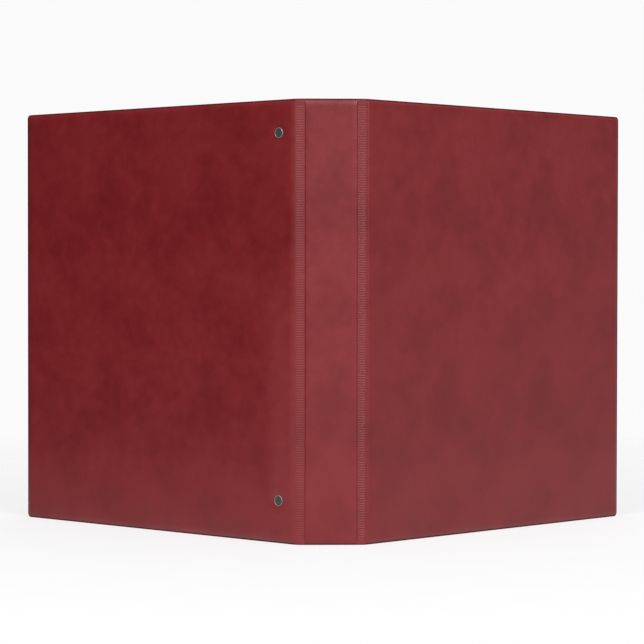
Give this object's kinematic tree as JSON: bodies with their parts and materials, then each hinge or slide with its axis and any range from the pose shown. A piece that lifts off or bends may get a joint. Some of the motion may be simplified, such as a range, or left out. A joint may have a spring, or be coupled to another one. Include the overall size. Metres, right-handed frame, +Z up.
{
  "type": "coin album",
  "caption": "Ring-bound coin album standing partly open: welded leather-look covers and spine, a ring metal inside the back cover and clear pocket pages.",
  "frame": {"origin": "middle of the spine's foot, on the plane between its outer and inner sheets", "axes": "+Z up, +X along the spine's width towards the front cover, +Y from the spine into the open album"},
  "size_m": [0.435, 0.2419, 0.295],
  "materials": {
    "outer_vinyl": "mottled leather-look print, satin",
    "inner_vinyl": "fine-grained matt sheet",
    "hinge_vinyl": "ribbed weld, satin",
    "chipboard": "grey pulp board",
    "nickel_steel": "bright nickel plate",
    "rivet_metal": "dull dark nickel",
    "clear_vinyl": "clear, slightly hazy"
  },
  "bodies": {
    "spine": {"spine_outer_vinyl": "outer_vinyl", "spine_board": "chipboard", "spine_inner_vinyl": "inner_vinyl", "front_hinge_web": "hinge_vinyl", "back_hinge_web": "hinge_vinyl"},
    "front_cover": {"front_cover_outer_vinyl": "outer_vinyl", "front_cover_board": "chipboard", "front_cover_inner_vinyl": "inner_vinyl", "front_cover_pocket": "clear_vinyl"},
    "back_cover": {"back_cover_outer_vinyl": "outer_vinyl", "back_cover_board": "chipboard", "back_cover_inner_vinyl": "inner_vinyl", "back_cover_pocket": "clear_vinyl", "ring_plate": "nickel_steel", "rivet_top": "rivet_metal", "rivet_bottom": "rivet_metal", "rivet_post_top": "rivet_metal", "rivet_post_bottom": "rivet_metal", "lever_pin_top": "nickel_steel", "lever_pin_bottom": "nickel_steel"},
    "rings_fore": {"fore_edge_blade": "nickel_steel", "ring_half_fore_top": "nickel_steel", "ring_half_fore_middle": "nickel_steel", "ring_half_fore_bottom": "nickel_steel"},
    "rings_spine": {"spine_side_blade": "nickel_steel", "ring_half_spine_top": "nickel_steel", "ring_half_spine_middle": "nickel_steel", "ring_half_spine_bottom": "nickel_steel"},
    "top_lever": {"lever_top": "nickel_steel"},
    "bottom_lever": {"lever_bottom": "nickel_steel"},
    "coin_page_1": {"coin_page_1_back_sheet": "clear_vinyl", "coin_page_1_pocket_sheet": "clear_vinyl"},
    "coin_page_2": {"coin_page_2_back_sheet": "clear_vinyl", "coin_page_2_pocket_sheet": "clear_vinyl"},
    "coin_page_3": {"coin_page_3_back_sheet": "clear_vinyl", "coin_page_3_pocket_sheet": "clear_vinyl"},
    "coin_page_4": {"coin_page_4_back_sheet": "clear_vinyl", "coin_page_4_pocket_sheet": "clear_vinyl"}
  },
  "joints": [
    {"name": "front_cover_hinge", "type": "hinge", "parent": "spine", "child": "front_cover", "pos_m": [0.02225, 0, 0.1475], "axis": [0, 0, -1], "range_deg": [-47, 133], "deforming": ["front_hinge_web"]},
    {"name": "back_cover_hinge", "type": "hinge", "parent": "spine", "child": "back_cover", "pos_m": [-0.02225, 0, 0.1475], "axis": [0, 0, 1], "range_deg": [-47, 133], "deforming": ["back_hinge_web"]},
    {"name": "rings_open", "type": "hinge", "parent": "back_cover", "child": "rings_fore", "pos_m": [-0.03661, 0.01804, 0.1507], "axis": [0, 0, 1], "range_deg": [0, 12]},
    {"name": "rings_open_spine_side", "type": "hinge", "parent": "back_cover", "child": "rings_spine", "pos_m": [-0.02571, 0.00787, 0.1507], "axis": [0, 0, 1], "range_deg": [-12, 0]},
    {"name": "top_lever_pivot", "type": "hinge", "parent": "back_cover", "child": "top_lever", "pos_m": [-0.02938, 0.01486, 0.2827], "axis": [0.7314, -0.682, 0], "range_deg": [0, 36]},
    {"name": "bottom_lever_pivot", "type": "hinge", "parent": "back_cover", "child": "bottom_lever", "pos_m": [-0.02938, 0.01486, 0.0187], "axis": [-0.7314, 0.682, 0], "range_deg": [0, 36]},
    {"name": "coin_page_1_turn", "type": "hinge", "parent": "rings_fore", "child": "coin_page_1", "pos_m": [-0.02165, 0.02315, 0.1507], "axis": [0, 0, -1], "range_deg": [-10, 26]},
    {"name": "coin_page_2_turn", "type": "hinge", "parent": "coin_page_1", "child": "coin_page_2", "pos_m": [-0.02165, 0.02315, 0.1507], "axis": [0, 0, -1], "range_deg": [-4, 26]},
    {"name": "coin_page_3_turn", "type": "hinge", "parent": "coin_page_2", "child": "coin_page_3", "pos_m": [-0.02165, 0.02315, 0.1507], "axis": [0, 0, -1], "range_deg": [-4, 26]},
    {"name": "coin_page_4_turn", "type": "hinge", "parent": "coin_page_3", "child": "coin_page_4", "pos_m": [-0.02165, 0.02315, 0.1507], "axis": [0, 0, -1], "range_deg": [-4, 26]}
  ],
  "couplings": [
    {"joint": "rings_open_spine_side", "follows": "rings_open", "ratio": -1},
    {"joint": "top_lever_pivot", "follows": "rings_open", "ratio": 3},
    {"joint": "bottom_lever_pivot", "follows": "rings_open", "ratio": 3}
  ]
}
